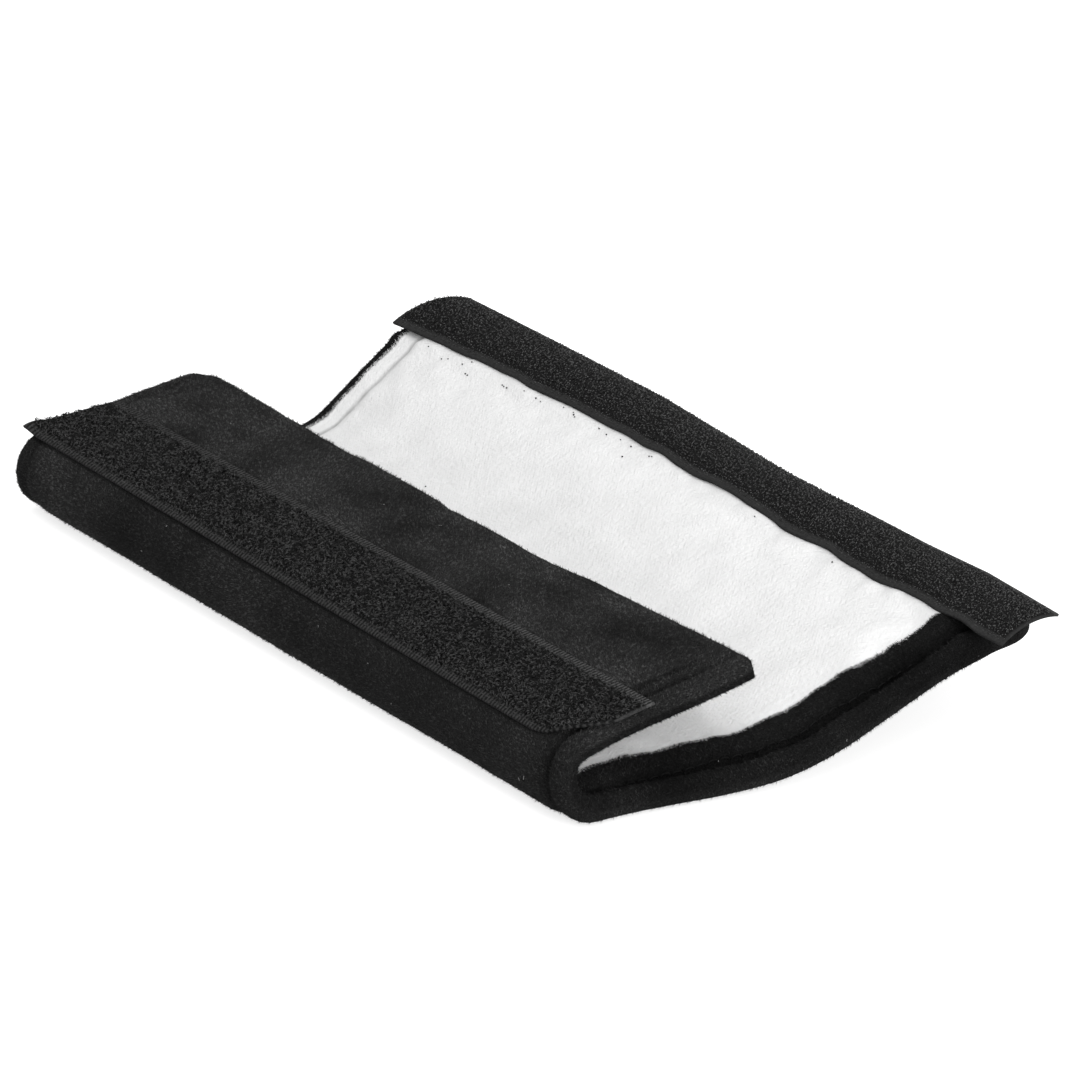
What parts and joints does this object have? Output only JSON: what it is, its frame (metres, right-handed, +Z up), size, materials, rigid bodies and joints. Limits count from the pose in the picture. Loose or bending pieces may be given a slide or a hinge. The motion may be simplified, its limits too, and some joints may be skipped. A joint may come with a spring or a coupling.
{
  "type": "seat belt shoulder pad",
  "caption": "Padded plush sleeve that folds round a car seat belt and closes with hook and loop tape, lying part open.",
  "frame": {"origin": "on the surface that the pad lies on, under the middle of its bounding box", "axes": "+X from the fold towards the hook tape, +Y along the pad from the hemmed near end to the far end, +Z up from the surface"},
  "size_m": [0.1432, 0.266, 0.0344],
  "materials": {
    "plush": "black short-pile plush with brushed patches",
    "fleece": "white brushed fleece",
    "foam": "soft padding, hidden inside",
    "loop_pile": "black loop tape with curly pile and woven selvedges",
    "hook_pile": "black hook tape with stiff hooks and woven selvedges",
    "thread": "black sewing thread",
    "pale_thread": "white sewing thread"
  },
  "bodies": {
    "root": {"outer_cover": "plush", "lining": "fleece", "foam_padding": "foam", "loop_tape": "loop_pile", "hook_tape": "hook_pile", "near_end_needle_thread": "thread", "near_end_bobbin_thread": "thread", "far_end_needle_thread": "thread", "far_end_bobbin_thread": "pale_thread", "hook_tape_inner_thread": "thread", "hook_tape_outer_thread": "thread", "loop_tape_inner_thread": "thread", "loop_tape_outer_thread": "thread"}
  },
  "joints": []
}
